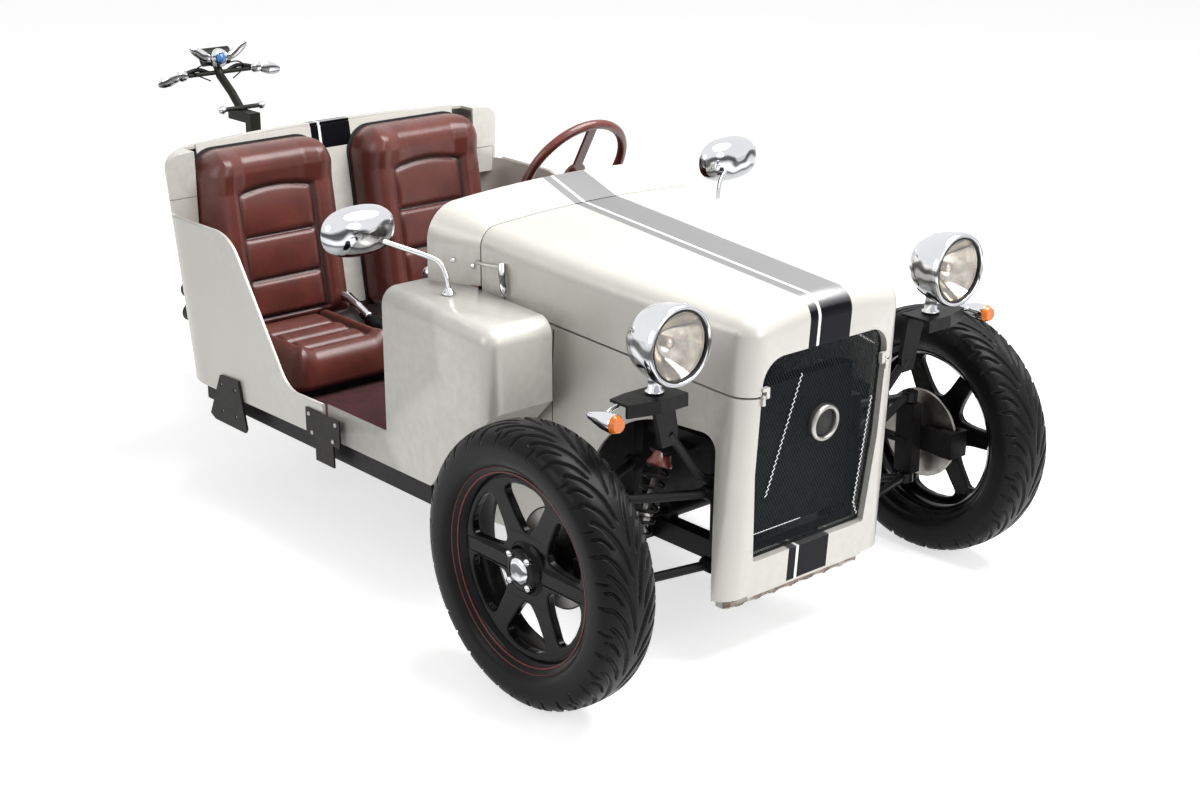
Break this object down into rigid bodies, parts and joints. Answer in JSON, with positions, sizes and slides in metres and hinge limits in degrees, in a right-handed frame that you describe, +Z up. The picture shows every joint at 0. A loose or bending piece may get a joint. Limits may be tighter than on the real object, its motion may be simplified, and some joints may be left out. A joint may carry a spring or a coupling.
{
  "type": "three wheeled car",
  "caption": "Open three wheeled car with two steered front wheels, one rear wheel, side by side bucket seats, a tilting bonnet, a bare scuttle and separate headlamps.",
  "frame": {"origin": "on the ground, midway between the front and rear axles, on the car's centre plane", "axes": "+Z up; the car faces -Y, so +X is its left side"},
  "size_m": [1.466, 2.722, 1.08],
  "materials": {
    "amber": "translucent amber",
    "black_metal": "satin black",
    "black_plastic": "satin",
    "body_paint": "pearl cream, gloss, worn",
    "bracket_black": "dull black",
    "carpet": "dark red pile",
    "chrome": "polished",
    "clear_glass": "clear",
    "dash_trim": "black grained",
    "engine_iron": "rough",
    "leather": "red brown, soft",
    "leather_rim": "red brown, smooth",
    "mirror": "polished",
    "radiator_metal": "dull black",
    "seat_shell": "textured",
    "steel": "satin",
    "tyre_rubber": "worn",
    "wheel_black": "gloss black"
  },
  "bodies": {
    "root": {"bonnet_latches": "chrome", "bulkhead": "black_metal", "centre_console": "carpet", "chassis_frame": "black_metal", "coil_dampers": "steel", "dashboard": "dash_trim", "engine_block": "engine_iron", "floor_pan": "carpet", "foot_boxes": "body_paint", "grille_mesh": "black_metal", "headlamp_lenses": "clear_glass", "indicator_lenses": "amber", "lamp_bodies": "chrome", "lamp_brackets": "black_metal", "levers": "steel", "lower_lip": "body_paint", "mirror_glass": "mirror", "mirrors": "chrome", "nose_shell": "body_paint", "radiator": "radiator_metal", "rear_cowl": "body_paint", "rear_dampers": "black_metal", "rear_mast": "black_metal", "rear_mudguard": "black_plastic", "scuttle_cowl": "body_paint", "seat_backs": "leather", "seat_cushions": "leather", "seat_shells": "seat_shell", "side_brackets": "bracket_black", "steering_column": "black_plastic", "swing_arm": "black_metal", "tail_lamps": "black_plastic", "tub_shell": "body_paint", "wishbones": "black_metal"},
    "knuckle_right": {"knuckle_right": "black_metal"},
    "knuckle_left": {"knuckle_left": "black_metal"},
    "wheel_front_right": {"tyre_front_right": "tyre_rubber", "wheel_front_right": "wheel_black"},
    "wheel_front_left": {"tyre_front_left": "tyre_rubber", "wheel_front_left": "wheel_black"},
    "wheel_rear": {"tyre_rear": "tyre_rubber", "wheel_rear": "wheel_black"},
    "rack": {"rack_and_tie_rods": "steel"},
    "steering_wheel": {"steering_wheel": "leather_rim"},
    "bonnet": {"bonnet": "body_paint"}
  },
  "joints": [
    {"name": "steer_right", "type": "hinge", "parent": "root", "child": "knuckle_right", "pos_m": [-0.555, -1.04, 0.321], "axis": [0, 0, 1], "range_deg": [-25, 25]},
    {"name": "steer_left", "type": "hinge", "parent": "root", "child": "knuckle_left", "pos_m": [0.555, -1.04, 0.321], "axis": [0, 0, 1], "range_deg": [-25, 25]},
    {"name": "rack_slide", "type": "slide", "parent": "root", "child": "rack", "axis": [1, 0, 0], "range_m": [-0.046, 0.046]},
    {"name": "steering_wheel_turn", "type": "hinge", "parent": "root", "child": "steering_wheel", "pos_m": [0.262, -0.075, 0.885], "axis": [0, 0.866, 0.5], "range_deg": [-151, 151]},
    {"name": "spin_front_right", "type": "hinge", "parent": "knuckle_right", "child": "wheel_front_right", "pos_m": [-0.658, -1.04, 0.321], "axis": [1, 0, 0], "continuous": true},
    {"name": "spin_front_left", "type": "hinge", "parent": "knuckle_left", "child": "wheel_front_left", "pos_m": [0.658, -1.04, 0.321], "axis": [1, 0, 0], "continuous": true},
    {"name": "spin_rear", "type": "hinge", "parent": "root", "child": "wheel_rear", "pos_m": [0, 1.04, 0.321], "axis": [1, 0, 0], "continuous": true},
    {"name": "bonnet_tilt", "type": "hinge", "parent": "root", "child": "bonnet", "pos_m": [0, -1.254, 0.6525], "axis": [1, 0, 0], "range_deg": [0, 65]}
  ],
  "couplings": [
    {"joint": "steer_left", "follows": "steer_right", "ratio": 1},
    {"joint": "rack_slide", "follows": "steer_right", "m_per_rad": -0.1},
    {"joint": "steering_wheel_turn", "follows": "steer_right", "ratio": 6}
  ]
}
